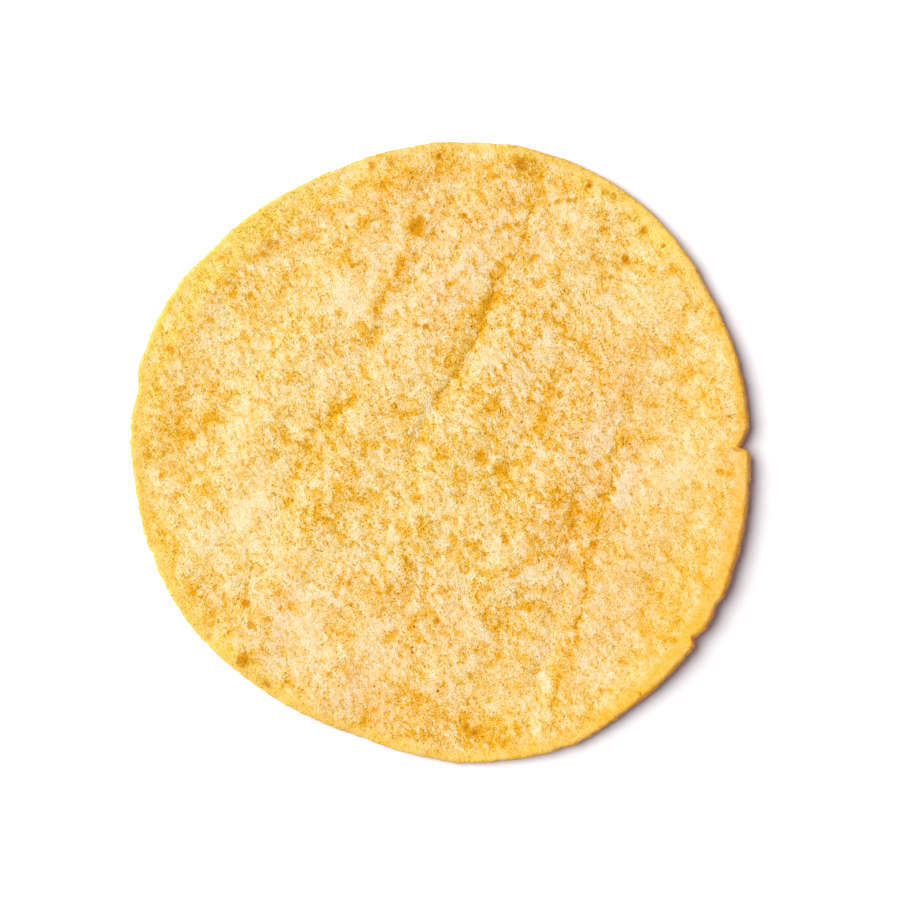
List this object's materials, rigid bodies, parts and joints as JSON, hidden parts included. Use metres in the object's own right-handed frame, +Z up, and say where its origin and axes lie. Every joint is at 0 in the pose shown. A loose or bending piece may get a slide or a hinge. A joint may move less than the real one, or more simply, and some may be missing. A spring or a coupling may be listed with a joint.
{
  "type": "corn tortilla",
  "caption": "Thin, slightly uneven round of griddled maize dough, flat in the middle with parallel bends and a gently curled, nicked rim.",
  "frame": {"origin": "middle of the tortilla's outline, on the surface that it lies on", "axes": "+Z up, out of the shown face; +X towards the larger nick in the rim; +Y across that in the plane of the tortilla"},
  "size_m": [0.1497, 0.1503, 0.0058],
  "materials": {
    "maize_crumb": "dry, matt griddled maize dough: pale cream-gold crumb with golden toasted patches and fine grain"
  },
  "bodies": {
    "root": {"tortilla": "maize_crumb"}
  },
  "joints": []
}
